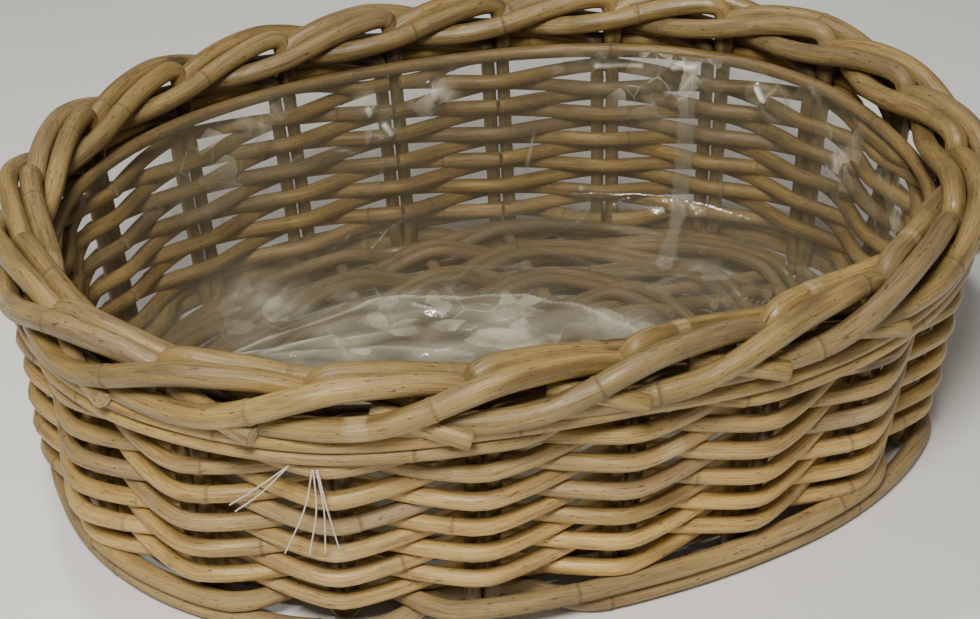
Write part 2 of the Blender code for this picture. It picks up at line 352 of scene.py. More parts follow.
def rattan(name, light, middle, dark, gloss):
    """Rattan skin: long fibres, blotches, specks, growth rings, stains and painted shade, scuffs and worn
    gloss.
    """
    finish = Finish(name)
    space = rod_space(finish)
    tone, grey, ring, mark = finish.channels("rod_look")
    stain_and_shade = finish.ramp(mark, 0.5, 1.0)
    scuff = finish.ramp(finish.sum("SUBTRACT", 1, mark), 0.5, 1.0)

    fibre = grain(finish, space, 34, 9.0, 4, 0.6)
    fine = grain(finish, space, 90, 26.0, 2, 0.6)
    blotch = grain(finish, space, 22, 0.9, 3, 0.55)
    speck = grain(finish, space, 210, 4.2, 2, 0.5)
    dash = grain(finish, space, 60, 7.5, 1, 0.4)
    patch = grain(finish, space, 75, 1.7, 4, 0.65)
    worn = grain(finish, space, 13, 1.3, 3, 0.6)

    def marked(skin, pattern, low, high, share, colour):
        return finish.mix(finish.times(finish.ramp(pattern, low, high), share), skin, colour)

    skin = finish.mix(finish.ramp(fibre, 0.34, 0.66), light, middle)
    skin = finish.mix(finish.ramp(blotch, 0.42, 0.72), skin, dark)
    skin = marked(skin, fine, 0.54, 0.68, 0.45, dark)
    weathered = finish.mix(finish.ramp(fibre, 0.25, 0.8), WEATHERED_LIGHT, WEATHERED_DARK)
    skin = finish.mix(grey, skin, weathered)
    skin = marked(skin, speck, 0.645, 0.70, 0.80, SPECK)
    skin = marked(skin, dash, 0.64, 0.70, 0.55, DASH)
    skin = marked(skin, patch, 0.60, 0.74, 0.55, GRIME)
    # A scuff bares pale fibres, with a torn edge.
    rubbed = finish.ramp(finish.sum("MULTIPLY_ADD", patch, 1.2, scuff), 1.10, 1.75)
    bared = finish.mix(finish.ramp(fibre, 0.36, 0.62), BARED_LIGHT, BARED_DARK)
    skin = finish.mix(finish.times(rubbed, 0.85), skin, bared)
    skin = finish.mix(finish.times(ring, 0.62), skin, GROWTH_RING)
    # The stain colour also lays the painted shade on the legs under the border.
    stained_and_shaded = finish.times(stain_and_shade, finish.ramp(blotch, 0.25, 0.6), clamp=True)
    skin = finish.mix(stained_and_shaded, skin, STAIN_AND_PAINTED_SHADE)
    bright = finish.times(tone, 2.0)
    skin = finish.mix(1.0, skin, finish.vector(bright, bright, bright), "MULTIPLY")
    finish.shade("Base Color", skin)

    dull = finish.ramp(worn, 0.36, 0.66)
    coarse = finish.ramp(fibre, 0.3, 0.8)
    rough = finish.add(gloss, ((dull, 0.22), (coarse, 0.12), (grey, 0.10), (ring, 0.35)))
    finish.shade("Roughness", finish.sum("MULTIPLY_ADD", rubbed, 0.30, rough, clamp=True))
    finish.shade("Specular IOR Level", 0.5)

    relief = finish.bump(fibre, 0.00035, 0.55)
    relief = finish.bump(speck, 0.0003, 0.35, relief)
    finish.shade("Normal", finish.bump(worn, 0.0012, 0.35, relief))
    return finish.material


PITH_LIGHT = (0.56, 0.43, 0.25)
PITH_DARK = (0.36, 0.25, 0.13)
PORE = (0.09, 0.055, 0.03)


def pith(name):
    """A cut rod end: pale torn pith with dark pores."""
    finish = Finish(name)
    pores = finish.cells(1700)["Distance"]
    torn = finish.spots(420, 3, 0.6)
    face = finish.mix(finish.ramp(torn, 0.35, 0.7), PITH_LIGHT, PITH_DARK)
    hole = finish.sum("SUBTRACT", 1, finish.ramp(pores, 0.10, 0.32))
    finish.shade("Base Color", finish.mix(finish.times(hole, 0.7), face, PORE))
    finish.shade("Roughness", finish.sum("MULTIPLY_ADD", torn, 0.2, 0.68))
    finish.shade("Normal", finish.bump(pores, 0.0004, 0.7))
    return finish.material


# Each skin: its light, middle and dark colour, and its roughness where it is glossy.
STAKE_SKIN = rattan("rattan_stake", (0.45, 0.315, 0.115), (0.30, 0.202, 0.072), (0.175, 0.113, 0.040), 0.24)
ROW_SKIN = rattan("rattan_row", (0.56, 0.38, 0.130), (0.40, 0.26, 0.084), (0.24, 0.145, 0.046), 0.26)
FOOT_SKIN = rattan("rattan_foot", (0.50, 0.35, 0.135), (0.37, 0.25, 0.090), (0.24, 0.155, 0.056), 0.40)
BASE_SKIN = rattan("rattan_base", (0.40, 0.275, 0.11), (0.28, 0.185, 0.072), (0.17, 0.11, 0.044), 0.45)
PITH = pith("rattan_pith")


# ---- Rods ----
ROD_STEP = 0.0040
CLOSEST_STATIONS = 0.00035
NODE_OFFSETS = np.array([-0.0040, -0.0022, -0.0012, -0.0005, 0, 0.0005, 0.0012, 0.0022, 0.0040])
END_OFFSETS = np.array([0, 0.0004, 0.0011])
END_SIZES = (0.88, 0.965, 1.0)
# What a growth ring does to a rod's radius and to its colour: how much, where and how far.
RING_SWELLING = (0.055, 0, 0.0009)
RING_NECK = (-0.03, 0.003, 0.002)
RING_LINE = (1, 0.0007, 0.0009)
RING_SHADE = (0.22, -0.004, 0.005)
RING_SPREAD = 0.12
# How a rod's radius, tone and greyness wander along it: step in metres, and spread.
RADIUS_WANDER = (0.05, 0.0001)
TONE_WANDER = (0.06, 0.10)
GREY_WANDER = (0.08, 0.15)
# Each rod's pattern starts somewhere within these metres, so that no two rods look alike.
PATTERN_LENGTH = 60


def rod_stations(length, nodes, step):
    """Places along a rod: even steps, with more of them at its growth rings and its ends."""
    even = np.linspace(0, length, max(4, int(length / step)) + 1)
    extra = [node + NODE_OFFSETS for node in nodes] + [END_OFFSETS, length - END_OFFSETS]
    places = np.concatenate([even, *extra])
    places = np.sort(places[(places >= 0) & (places <= length)])
    kept = [places[0]]
    for place in places[1:-1]:
        if min(place - kept[-1], length - place) > CLOSEST_STATIONS:
            kept.append(place)
    return np.array([*kept, places[-1]])


def round_curve(name, line, radii, thickness, resolution):
    """A closed round tube along a line."""
    curve = bpy.data.curves.new(name, "CURVE")
    curve.dimensions = "3D"
    curve.bevel_depth = thickness
    curve.bevel_resolution = resolution
    curve.use_fill_caps = True
    curve.twist_mode = "MINIMUM"
    track = curve.splines.new("POLY")
    track.points.add(len(line) - 1)
    track.points.foreach_set("co", np.column_stack([line, np.ones(len(line))]).ravel())
    track.points.foreach_set("radius", radii)
    return curve


def rod_piece(
    name, line, radius, skin, slot, replaced, tone, grey, marks=(), sides=12, step=ROD_STEP, node_gap=0.16
):
    """One rattan rod along a line: uneven thickness, growth rings, cut ends and its own look."""
    travelled = lengths_along(line)
    length = travelled[-1]
    nodes = ()
    if node_gap:
        nodes = np.arange(draws.uniform(0.1, 0.9) * node_gap, length, node_gap)
        nodes = nodes + draws.normal(0, node_gap * RING_SPREAD, len(nodes))
    stations = rod_stations(length, nodes, step)
    points = np.column_stack([np.interp(stations, travelled, line[:, axis]) for axis in range(3)])
    sizes = np.interp(stations, travelled, np.broadcast_to(radius, len(line)))
    sizes = sizes + np.interp(stations, *slow_wander(length, *RADIUS_WANDER))
    rings = np.zeros(len(stations))
    for node in nodes:
        away = stations - node
        sizes = sizes * (1 + hump(away, *RING_SWELLING) + hump(away, *RING_NECK))
        rings = np.maximum(rings, hump(away, *RING_LINE))
        rings = np.maximum(rings, hump(away, *RING_SHADE))
    ends = np.minimum(stations, length - stations)
    sizes = sizes * np.interp(ends, END_OFFSETS, END_SIZES)

    holder = scene_object(name + "_line", round_curve(name, points, sizes, 1, sides // 2 - 2))
    bpy.context.view_layer.update()
    graph = bpy.context.evaluated_depsgraph_get()
    mesh = bpy.data.meshes.new_from_object(holder.evaluated_get(graph))
    bpy.data.objects.remove(holder)
    mesh.name = name

    # The ends' caps come first in the mesh, the far one before the near one, then each ring.
    rounds = (np.arange(len(mesh.vertices)) - 2 * sides) // sides
    rounds[:sides] = len(stations) - 1
    rounds[sides : 2 * sides] = 0

    # Its UV map is in metres along it and in turns round it.
    corners = np.empty(len(mesh.loops), int)
    mesh.loops.foreach_get("vertex_index", corners)
    layer = mesh.uv_layers[0]
    spread = np.empty(2 * len(corners))
    layer.data.foreach_get("uv", spread)
    spread[0::2] = stations[rounds[corners]] + draws.uniform(0, PATTERN_LENGTH)
    layer.data.foreach_set("uv", spread)

    tones = tone * (1 + np.interp(stations, *slow_wander(length, *TONE_WANDER))) / 2
    greys = grey + np.interp(stations, *slow_wander(length, *GREY_WANDER))
    # Half is a bare rod, more is dark (a stain and painted shade alike) and less a pale scuff.
    worn = np.full(len(stations), 0.5)
    for where, width, strength in marks:
        where = where if where >= 0 else length + where
        worn += strength / 2 * np.exp(-(((stations - where) / width) ** 4))
    look = np.column_stack([tones, greys, rings, worn])
    layer = mesh.attributes.new("rod_look", "FLOAT_COLOR", "POINT")
    layer.data.foreach_set("color", np.clip(look, 0, 1)[rounds].ravel())

    mesh.materials.clear()
    mesh.materials.append(skin)
    mesh.materials.append(PITH)
    for face in mesh.polygons:
        is_cap = max(face.vertices) < 2 * sides
        face.use_smooth = not is_cap
        face.material_index = int(is_cap)
    shape = bmesh.new()
    shape.from_mesh(mesh)
    bmesh.ops.remove_doubles(shape, verts=shape.verts, dist=0.000001)
    shape.to_mesh(mesh)
    shape.free()
    piece = scene_object(name, mesh)
    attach(piece, "root")
    if replaced:
        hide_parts(replaced)


# ---- Thread ends, which hang from the stitches under the border ----
def thread_finish():
    finish = Finish("thread")
    fuzz = finish.spots(2600, 2, 0.6)
    finish.shade("Base Color", finish.mix(fuzz, (0.80, 0.76, 0.68), (0.54, 0.48, 0.38)))
    finish.shade("Roughness", finish.sum("MULTIPLY_ADD", fuzz, 0.2, 0.45))
    finish.shade("Normal", finish.bump(fuzz, 0.0002, 0.8))
    finish.shade("Sheen Weight", 0.3)
    return finish.material


THREAD_FINISH = thread_finish()
# Each strand: its CAD node, then stake spacings along, metres outwards and metres below the rows.
THREAD_STRANDS = (
    ("thread_left", ((12.78, -0.0029, 0), (12.56, 0.0020, 0.0125), (12.38, 0.0003, 0.0250))),
    ("thread_left", ((12.77, -0.0024, 0.0008), (12.60, 0.0022, 0.0140), (12.42, 0.0016, 0.0272))),
    ("thread_middle", ((12.930, -0.0012, 0), (12.87, 0.0018, 0.0200), (12.70, 0.0005, 0.0510))),
    ("thread_middle", ((12.936, -0.0010, 0.0005), (12.94, 0.0022, 0.0200), (12.86, 0.0006, 0.0500))),
    ("thread_right", ((12.955, -0.0011, 0.0004), (12.985, 0.0022, 0.0200), (12.96, 0.0006, 0.0490))),
    ("thread_right", ((12.962, -0.0012, 0), (13.005, 0.0022, 0.0200), (13.05, 0.0006, 0.0465))),
)
for number, (node, route) in enumerate(THREAD_STRANDS):
    corners = [wall_point(stake, THREAD_OUT + out, ROWS_TOP - drop) for stake, out, drop in route]
    line = smooth_line(corners, 12)[0]
    curve = round_curve(f"thread_strand_{number + 1}", line, np.ones(len(line)), THREAD / 2, 2)
    curve.materials.append(THREAD_FINISH)
    strand = scene_object(curve.name, curve)
    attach(strand, "root")
    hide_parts(node)


# ---- Wall rows, top course and foot ----
# How far the rows stand off their even heights at each stake, in metres. It starts at a height and
# is full at a reach above it.
STAKE_RISE = [0] * 11 + [0.0005, 0.0016, 0, 0.0030, 0.0026, -0.0026, -0.0032, -0.0018, 0]
RISE_START = 0.012
RISE_REACH = 0.030
WEAVE_SHARPNESS = 0.96
ROW_UNEVENNESS = 0.00045
# A row's two ends leave this gap, in stake spacings.
ROW_GAP = 0.015
# The weave's dip fades out over this height under the top of the rows.
DIP_FADE = 0.02


def weave_swing(turn):
    """From -1 to 1 and back over one stake spacing, nearly straight between short bends."""
    return math.asin(WEAVE_SHARPNESS * math.cos(math.pi * turn)) / math.asin(WEAVE_SHARPNESS)


def wall_rise(stake, height):
    """The rise of a row at a place, less and less towards the floor."""
    rise = float(np.interp(stake % STAKES, range(STAKES + 1), [*STAKE_RISE, STAKE_RISE[0]]))
    return rise * clamped((height - RISE_START) / RISE_REACH)


def row_line(start, height, phase):
    """A row once round the wall, outside the stakes whose number has its phase."""
    stakes = np.arange(STAKES * 10 + 1) / 10 + start
    stakes[-1] -= ROW_GAP
    bend_out = draws.normal(0, ROW_UNEVENNESS, STAKES + 1)
    bend_up = draws.normal(0, ROW_UNEVENNESS * 0.6, STAKES + 1)
    bend_out[-1] = bend_out[0]
    bend_up[-1] = bend_up[0]
    line = []
    for stake in stakes:
        at = stake % STAKES
        swing = weave_swing(stake - phase)
        away = ROW_OUT * swing + np.interp(at, range(STAKES + 1), bend_out)
        up = height + wall_rise(stake, height) + np.interp(at, range(STAKES + 1), bend_up)
        up -= WEAVE_DIP * swing * min(1, (ROWS_TOP - height) / DIP_FADE)
        line.append(tuple(wall_point(stake, away, up)))
    return np.array(line)


ROW_BRIGHTNESS = 1.06
# Each row from the lowest: tone, greyness, radius change.
ROW_LOOKS = (
    (1.08, 0.05, 0.0), (1.02, 0.10, 0.0), (1.12, 0.00, 0.0001), (1.05, 0.04, 0.0),
    (1.09, 0.00, 0.0001), (0.98, 0.14, -0.0001), (0.88, 0.55, 0.0001), (0.97, 0.16, 0.0),
    (0.92, 0.18, 0.0001), (0.88, 0.24, -0.0001), (0.90, 0.18, 0.0),
)
# Scuffs and stains of single rows: stake place, half length in metres, strength.
ROW_MARKS = {
    4: ((13.08, 0.006, -0.9), (16.2, 0.009, -0.6), (1.0, 0.008, -0.7)),
    8: ((15.28, 0.009, -1.0), (12.4, 0.005, -0.6), (6.1, 0.008, -0.8)),
    6: ((17.10, 0.024, -0.9), (9.0, 0.012, -0.6)),
    1: ((14.6, 0.006, -0.7), (18.4, 0.010, 0.7)),
    10: ((16.9, 0.012, 0.8), (11.7, 0.006, -0.6)),
}
for row, height in enumerate(ROW_HEIGHTS):
    tone, grey, thicker = ROW_LOOKS[row]
    phase = (row + 1) % 2
    start = 3 + phase + 2 * (row % 4) + 0.02
    line = row_line(start, height, phase)
    span = lengths_along(line)[-1] / STAKES
    marks = [((stake - start) % STAKES * span, *rest) for stake, *rest in ROW_MARKS.get(row, ())]
    node = f"wall_row_{row + 1:02d}"
    look = (ROW_BRIGHTNESS * tone, grey, marks)
    rod_piece(node[5:], line, ROW_RADIUS + thicker, ROW_SKIN, "rattan_row", node, *look, step=0.0034)


# How far out a course stands, at stake places in turn.
EVENLY_OUT = ((0,), (ROW_OUT,))
EVENLY_IN = ((0,), (-INNER_COURSE_INSET,))
FOOT_OUT = ((0, 11.3, 12.8, 14.6, 16.2), (0.0108, 0.0108, 0.0136, 0.0136, 0.0108))


def course_line(inner, height, outs, inside, start, rise=1.0):
    """A course that stands inside every fifth stake, as far as given, and outside the others."""
    line = []
    for step in range(STAKES * 10):
        stake = start + step / 10
        near = (stake - inner + 2.5) % 5 - 2.5
        swing = eased((1 + math.cos(math.pi * near)) / 2 if abs(near) < 1 else 0)
        up = height + wall_rise(stake, height) * rise
        out = float(np.interp(stake % STAKES, *outs))
        line.append(tuple(wall_point(stake, out + (inside - out) * swing, up)))
    return np.array(line)


# The courses under the border. Each: the first stake it stands inside, height, how far out, how far
# out at that stake, start; radius, CAD node, tone, greyness.
COURSES = {
    "top_row": ((0, TOP_COURSE_HEIGHT, EVENLY_OUT, -ROW_OUT, 5.03), 0.0040, "top_course", 0.86, 0.10),
    "upper_row": ((3, UPPER_COURSE_HEIGHT, EVENLY_OUT, ROW_OUT, 8.46), 0.0039, None, 0.90, 0.12),
    "inner_row": ((3, INNER_COURSE_HEIGHT, EVENLY_IN, -INNER_COURSE_INSET, 13.46), 0.0038, None, 0.62, 0.25),
}
for name, (route, radius, replaced, tone, grey) in COURSES.items():
    rod_piece(name, course_line(*route), radius, ROW_SKIN, "rattan_top_course", replaced, tone, grey)
for course, height in enumerate(FOOT_HEIGHTS):
    name = f"foot_rod_{course + 1}"
    node = f"foot_course_{course + 1}"
    line = course_line(4 - course, height, FOOT_OUT, FOOT_IN, 4.03 - course, 0.3)
    look = (0.96, 0.34 - 0.12 * course)
    rod_piece(name, line, FOOT_RADIUS, FOOT_SKIN, "rattan_foot", node, *look, node_gap=0.13)


# ---- Stakes and the rolled border ----
# Each strand: stake spacings along, metres outwards and metres up from the rim's middle.
# The long one ends under the bend of the short one three stakes on.
LONG_STRAND = (
    (0.075, 0.0003, -0.0205),
    (0.22, 0.0026, -0.0170),
    (0.45, 0.0062, -0.0148),
    (0.85, 0.0096, -0.0134),
    (1.10, 0.0117, -0.0124),
    (1.35, 0.0131, -0.0096),
    (1.60, 0.0132, -0.0036),
    (1.85, 0.0112, 0.0026),
    (2.10, 0.0082, 0.0064),
    (2.36, 0.0048, 0.0066),
    (2.60, 0.0018, 0.0048),
    (2.78, 0.0002, 0.0016),
    (2.925, -0.0008, -0.0024),
)
SHORT_STRAND = (
    (-0.069, 0.0, -0.0175),
    (-0.069, -0.0002, -0.0090),
    (-0.062, -0.0004, -0.0010),
    (-0.030, -0.0010, 0.0044),
    (0.050, -0.0026, 0.0066),
    (0.250, -0.0052, 0.0060),
    (0.500, -0.0080, 0.0034),
    (0.750, -0.0102, -0.0004),
    (0.940, -0.0112, -0.0030),
    (1.110, -0.0110, -0.0048),
    (1.300, -0.0092, -0.0064),
    (1.460, -0.0058, -0.0076),
    (1.600, -0.0022, -0.0080),
    (1.700, 0.0002, -0.0074),
)
# Looks of single rods by stake number. Marks are places in metres from the short strand's end, or
# from the long strand's end where they are negative, with a half length and a strength.
ROD_LOOKS = {
    8: dict(tone=1.05, grey=0.05),
    9: dict(tone=1.02, grey=0.12, marks=((0.036, 0.011, -0.9),)),
    10: dict(tone=0.86, grey=0.05),
    11: dict(tone=1.06, grey=0.04, border=0.0057),
    12: dict(tone=1.04, grey=0.05, border=0.0055, marks=((-0.122, 0.007, -0.9),)),
    13: dict(tone=0.92, grey=0.34, border=0.0054, marks=((0.060, 0.006, -0.6),)),
    14: dict(tone=0.96, grey=0.06, border=0.0056, marks=((0.055, 0.008, 0.9), (-0.06, 0.014, 0.6))),
    15: dict(tone=0.90, grey=0.10, marks=((0.094, 0.005, -0.9),)),
    16: dict(tone=1.00, grey=0.02, marks=((0.094, 0.006, -0.9), (-0.05, 0.009, -0.6))),
    17: dict(tone=0.90, grey=0.16, marks=((0.094, 0.005, -0.9),)),
    5: dict(tone=0.88, grey=0.20, marks=((-0.075, 0.008, 0.7),)),
    2: dict(tone=1.04, grey=0.10, marks=((0.020, 0.010, -0.8),)),
}
# Both legs of each rod get a painted shade just under the border, laid on as a dark stain mark.
PAINTED_LEG_SHADE = ((0.143, 0.014, 0.85), (-0.204, 0.014, 0.85))
STAKE_BRIGHTNESS = 0.84
STAKE_DETAIL = dict(sides=16, step=0.0024, node_gap=0.11)
STAKE_WOBBLE = 0.0005
BORDER_SPREAD = 0.0002
# A stake's legs stand straight down to the first height, and bend into the foot below the second.
LEG_FOOT = 0.016
BEND_START = 0.0125
BEND_HEIGHT = 0.0054
BEND_SHARE = 0.72


def leg_points(way, top_wobble, wobble):
    """A stake's leg, downwards: spacings along, metres outwards and height."""
    side = way * STAKE_SIDE / SPACING
    points = [(side, top_wobble, LEG_TOP)]
    for share in (0.75, 0.5, 0.25):
        points.append((side, wobble * share, LEG_FOOT + (LEG_TOP - LEG_FOOT) * share))
    return [*points, (side, 0, BEND_START), (side * BEND_SHARE, 0, BEND_HEIGHT + 0.0012)]


def stake_line(stake):
    """One doubled rod: short strand, leg, bend at the foot, leg, long strand."""
    wobble = draws.normal(0, STAKE_WOBBLE, 4)
    border = BORDER_RADIUS + draws.uniform(-BORDER_SPREAD, BORDER_SPREAD)
    border = ROD_LOOKS.get(stake, {}).get("border", border)
    short = [(along, out, RIM_HEIGHT + up) for along, out, up in SHORT_STRAND[::-1]]
    legs = [*leg_points(-1, wobble[0], wobble[1]), (0, 0, BEND_HEIGHT - 0.0004)]
    legs += leg_points(1, wobble[3], wobble[2])[::-1]
    long = [(along, out, RIM_HEIGHT + up) for along, out, up in LONG_STRAND]
    points = [wall_point(stake + along, out, height) for along, out, height in short + legs + long]
    sizes = [border] * len(short) + [STAKE_RADIUS] * len(legs) + [border] * len(long)
    line, places = smooth_line(points, 6)
    return line, np.interp(places, range(len(sizes)), sizes)


for stake in range(STAKES):
    line, sizes = stake_line(stake)
    look = ROD_LOOKS.get(stake, {})
    name = f"stake_rod_{stake + 1:02d}"
    node = f"stake_{stake + 1:02d}"
    tone = STAKE_BRIGHTNESS * look.get("tone", 0.96 + draws.uniform(-0.06, 0.06))
    look = (tone, look.get("grey", draws.uniform(0.0, 0.25)), (*look.get("marks", ()), *PAINTED_LEG_SHADE))
    rod_piece(name, line, sizes, STAKE_SKIN, "rattan_stake", node, *look, **STAKE_DETAIL)

# Cut ends of border rods that come out from under it: stake place of the tip, height, radius.
PEGS = (
    (10.17, 0.1285, 0.0042), (11.59, 0.1300, 0.0044), (12.60, 0.1305, 0.0050), (13.90, 0.1280, 0.0048),
    (15.00, 0.1326, 0.0046), (15.95, 0.1310, 0.0048), (16.96, 0.1246, 0.0042), (18.10, 0.1290, 0.0045),
    (19.20, 0.1300, 0.0043), (0.40, 0.1290, 0.0046), (1.55, 0.1280, 0.0044), (3.10, 0.1295, 0.0045),
    (4.35, 0.1285, 0.0043), (5.60, 0.1290, 0.0046), (7.05, 0.1280, 0.0044), (8.40, 0.1290, 0.0045),
)
# Their points from inside the border to the tip: spacings before it, metres outwards and up.
PEG_ROUTE = ((0.60, 0.0020, 0.0075), (0.30, 0.0098, 0.0046), (0, 0.0164, -0.0010))
for number, (tip, height, radius) in enumerate(PEGS):
    name = f"border_end_{number + 1:02d}"
    route = [wall_point(tip - back, out, height + up) for back, out, up in PEG_ROUTE]
    line = smooth_line(route, 10)[0]
    look = (draws.uniform(0.86, 1.04), draws.uniform(0.0, 0.2))
    rod_piece(name, line, radius, STAKE_SKIN, "rattan_stake", None, *look, sides=16, node_gap=0)


# ---- The base ----
def oval_reach(half_length, half_width, across):
    """How far an oval reaches along its length at a place across it."""
    share = 1 - abs(across / half_width) ** OVAL_POWER
    return half_length * max(0, share) ** (1 / OVAL_POWER)


base_length, base_width = half_sizes(BASE_HEIGHT)
field_length = base_length - BASE_INSET
field_width = base_width - BASE_INSET
cross_pitch = field_length * CROSS_STICK_PITCH_SHARE
long_pitch = field_width * LONG_STICK_PITCH_SHARE
ring_pitch = field_width * BASE_RING_PITCH_SHARE
cross_places = [(n - (CROSS_STICKS - 1) / 2) * cross_pitch for n in range(CROSS_STICKS)]
long_places = [(n - (LONG_STICKS - 1) / 2) * long_pitch for n in range(LONG_STICKS)]


# The long sticks lie level as far as this from the outer cross sticks.
STICK_STRAIGHT = 0.03
# Rings: steps in a full turn, how far past a stick they start, as a share of it, and how far from
# the middle a stick has to cross to be woven.
RING_STEPS = 120
RING_START = 0.006
NEAREST_CROSSING = 0.02


def base_piece(name, points, replaced, tone=0.9):
    line = smooth_line(points, 8)[0]
    look = (tone + draws.uniform(-0.05, 0.05), draws.uniform(0.15, 0.4))
    rod_piece(name, line, BASE_RADIUS, BASE_SKIN, "rattan_base", replaced, *look, sides=10, step=0.0045)


for number, x in enumerate(cross_places):
    reach = oval_reach(base_width - STICK_END_INSET, base_length - STICK_END_INSET, x)
    points = [(x, reach * share, BASE_HEIGHT) for share in (-1, -0.5, 0, 0.5, 1)]
    base_piece(f"cross_stick_{number + 1}", points, f"base_cross_stick_{number + 1}")

for number, y in enumerate(long_places):
    reach = oval_reach(base_length - STICK_END_INSET, base_width - STICK_END_INSET, y)
    points = [(-reach, y, BASE_HEIGHT), (cross_places[0] - STICK_STRAIGHT, y, BASE_HEIGHT)]
    for place, x in enumerate(cross_places):
        lift = BASE_LIFT if (place + number) % 2 == 0 else -BASE_LIFT
        points.append((x, y, BASE_HEIGHT + lift))
    points += [(cross_places[-1] + STICK_STRAIGHT, y, BASE_HEIGHT), (reach, y, BASE_HEIGHT)]
    base_piece(f"long_stick_{number + 1}", points, f"base_long_stick_{number + 1}")


def ring_points(number):
    """A ring of the base, over one stick and under the next."""
    half_length = field_length - number * ring_pitch
    half_width = field_width - number * ring_pitch
    angles, shares = even_angles(half_length, half_width)
    turns = []
    crossings = [(x, oval_reach(half_width, half_length, x)) for x in cross_places]
    crossings = [(x, y) for x, y in crossings if y > NEAREST_CROSSING]
    crossings += [(x, -y) for x, y in crossings]
    sides = [(oval_reach(half_length, half_width, y), y) for y in long_places]
    crossings += [(x * side, y) for x, y in sides if x > NEAREST_CROSSING for side in (-1, 1)]
    for x, y in crossings:
        c = math.copysign(abs(x / half_length) ** (OVAL_POWER / 2), x)
        s = math.copysign(abs(y / half_width) ** (OVAL_POWER / 2), y)
        angle = math.atan2(s, c) % (2 * math.pi)
        turns.append(float(np.interp(angle, angles, shares)))
    turns.sort()
    is_late = int(2 * number) % 4 in (1, 2)
    lifts = [BASE_LIFT * (-1) ** (place + is_late) for place in range(len(turns))]
    known = [turns[-1] - 1, *turns, turns[0] + 1]
    known_lifts = [lifts[-1], *lifts, lifts[0]]
    points = []
    for step in range(RING_STEPS - 1):
        turn = step / RING_STEPS + turns[0] + RING_START
        place = int(np.searchsorted(known, turn % 1)) - 1
        share = (turn % 1 - known[place]) / (known[place + 1] - known[place])
        lift = known_lifts[place] + (known_lifts[place + 1] - known_lifts[place]) * eased(share)
        angle = float(np.interp(turn % 1, shares, angles))
        point = oval(half_length, half_width, angle)[0]
        points.append((point.x, point.y, BASE_HEIGHT + lift))
    return points


def edge_points():
    """The outermost round, beside the stakes, under one foot course and over the other."""
    points = []
    for step in range(STAKES * 10 - 1):
        stake = 1.04 + step / 10
        share = eased(eased(stake % 1))
        here = EDGE_HEIGHTS[int(stake) % 5]
        ahead = EDGE_HEIGHTS[(int(stake) + 1) % 5]
        points.append(tuple(wall_point(stake, -EDGE_INSET, here + (ahead - here) * share)))
    return np.array(points)


edge = edge_points()
rod_piece("base_edge_round", edge, EDGE_RADIUS, BASE_SKIN, "rattan_base", None, 0.9, 0.25, sides=10)

for count in range(14):
    number = count / 2
    replaced = f"base_ring_{count // 2 + 1}" if count % 2 == 0 and count < 10 else None
    base_piece(f"base_round_{count + 1:02d}", ring_points(number), replaced, tone=0.86)


# ---- The film liner ----
LINER_INSET = 0.0160
LINER_LEAN = 0.0020
LINER_BOTTOM = 0.0262
LINER_TOP = 0.1285
BOTTOM_SHARE = 0.60
SEAM_WIDTH = 0.0054
LINER_ROUND = 0.006
# The welded seam runs down the wall, as stake places and heights, and on across the bottom.
SEAM_LINE = ((2.12, 0.1260), (2.16, 0.0800), (2.22, 0.0340))
SEAM_END = (0.1230, 0.0590, LINER_BOTTOM)
# Sharp folds of the bottom: the points each follows, as x and y, its width, and its white, partly painted
# glint.
FOLD_LEVEL = 0.027
BOTTOM_FOLDS = (
    (((0.008, 0.096), (0.040, 0.083), (0.075, 0.068)), 0.0020, 0.35),
    (((-0.142, 0.048), (-0.118, 0.058), (-0.043, 0.077), (-0.010, 0.067)), 0.0020, 0.5),
    (((-0.010, 0.067), (0.032, 0.053), (0.060, 0.030), (0.088, -0.012)), 0.0022, 0.5),
    (((-0.138, 0.050), (-0.112, 0.047), (-0.080, 0.050)), 0.0019, 0.55),
    (((-0.120, 0.044), (-0.060, 0.030), (-0.010, 0.006)), 0.0022, 0.4),
    (((-0.028, 0.066), (-0.014, 0.049)), 0.0020, 0.6),
    (((0.060, 0.100), (0.096, 0.060), (0.150, 0.030)), 0.0020, 0.35),
)
# Sharp folds of the wall, as stake places, insets and heights; the short ones are raised painted glints.
WALL_FOLDS = (
    (((5.16, 0.0176, 0.096), (5.10, 0.0176, 0.090)), 0.0021, 0.8),
    (((5.31, 0.0178, 0.108), (5.29, 0.0178, 0.104)), 0.0019, 0.8),
    (((4.66, 0.0178, 0.112), (4.64, 0.0178, 0.108)), 0.0019, 0.8),
    (((1.40, 0.0178, 0.117), (1.32, 0.0178, 0.111)), 0.0021, 0.8),
    (((3.05, 0.0178, 0.119), (2.62, 0.0178, 0.119)), 0.0020, 0.6),
    (((2.30, 0.0178, 0.119), (2.08, 0.0178, 0.122)), 0.0022, 0.8),
    (((10.1, 0.0176, 0.088), (10.4, 0.0172, 0.066)), 0.0028, 0.7),
)
# All of them, as x, y and z, with two in the corner between the wall and the bottom.
FOLDS = [
    (((-0.050, 0.136, 0.034), (-0.022, 0.128, 0.028)), 0.0024, 0.9),
    (((0.100, 0.140, 0.040), (0.142, 0.112, 0.032)), 0.0024, 1.0),
]
FOLDS += [([(x, y, FOLD_LEVEL) for x, y in route], *rest) for route, *rest in BOTTOM_FOLDS]
FOLDS += [([wall_point(at, -inset, up) for at, inset, up in route], *rest) for route, *rest in WALL_FOLDS]
